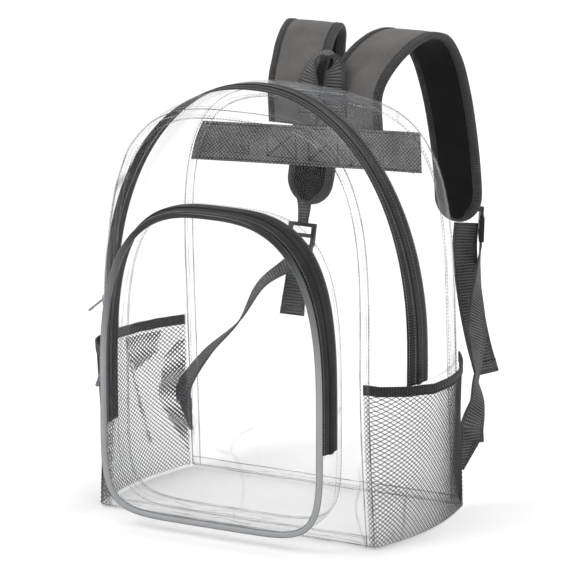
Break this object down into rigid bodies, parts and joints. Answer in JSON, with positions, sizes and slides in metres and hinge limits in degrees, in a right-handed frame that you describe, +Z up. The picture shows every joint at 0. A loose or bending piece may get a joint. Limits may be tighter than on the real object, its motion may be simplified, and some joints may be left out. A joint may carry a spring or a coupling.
{
  "type": "backpack",
  "caption": "See-through film backpack with an arched main zip, zipped front pocket, mesh side pockets, webbing band, carry handle and padded shoulder straps.",
  "frame": {"origin": "on the floor, in the middle of the bag's body", "axes": "+Z up, -Y the bag's front with the pocket, +Y the side with the shoulder straps, +X to the viewer's right from the front"},
  "size_m": [0.4103, 0.3578, 0.4621],
  "materials": {
    "clear_film": "glossy clear vinyl film",
    "net": "diamond net",
    "zip_tape": "woven zip tape",
    "zip_coil": "nylon coil",
    "piping": "smooth grey piping",
    "webbing": "ribbed webbing",
    "strap_fabric": "padded woven fabric",
    "binding": "folded binding tape",
    "black_plastic": "moulded plastic",
    "dark_metal": "gunmetal plated"
  },
  "bodies": {
    "bag": {"front_panel": "clear_film", "back_panel": "clear_film", "bottom_panel": "clear_film", "side_panel_left": "clear_film", "side_panel_right": "clear_film", "gusset_front": "clear_film", "gusset_back": "clear_film", "seam_tape_front": "clear_film", "seam_tape_back": "clear_film", "main_zip_tape_front": "zip_tape", "main_zip_tape_back": "zip_tape", "main_zip_coil": "zip_coil", "main_slider": "dark_metal", "pocket_gusset": "clear_film", "pocket_foot": "clear_film", "pocket_face": "clear_film", "pocket_zip_tape_back": "zip_tape", "pocket_zip_tape_front": "zip_tape", "pocket_zip_coil": "zip_coil", "pocket_piping": "piping", "pocket_slider": "dark_metal", "mesh_pocket_left": "net", "mesh_pocket_right": "net", "mesh_binding_left": "binding", "mesh_binding_right": "binding", "back_band": "webbing", "carry_handle": "webbing", "strap_pad_left": "strap_fabric", "strap_pad_right": "strap_fabric", "strap_rim_left": "binding", "strap_rim_right": "binding", "lock_flap_left": "webbing", "lock_flap_right": "webbing", "ladder_lock_left": "black_plastic", "ladder_lock_right": "black_plastic", "strap_tail_left": "webbing", "strap_tail_right": "webbing", "lower_strap_left": "webbing", "lower_strap_right": "webbing", "anchor_tab_left": "webbing", "anchor_tab_right": "webbing"},
    "main_zip_pull": {"main_pull": "dark_metal"},
    "pocket_zip_pull": {"pocket_pull": "dark_metal"}
  },
  "joints": [
    {"name": "main_pull_swing", "type": "hinge", "parent": "bag", "child": "main_zip_pull", "pos_m": [-0.1876, -0.02826, 0.19859], "axis": [-0.0472, 0.9989, 0], "range_deg": [-50, 100]},
    {"name": "pocket_pull_swing", "type": "hinge", "parent": "bag", "child": "pocket_zip_pull", "pos_m": [-0.13562, -0.10779, 0.15327], "axis": [-0.0516, 0.9987, 0], "range_deg": [-20, 130]}
  ]
}
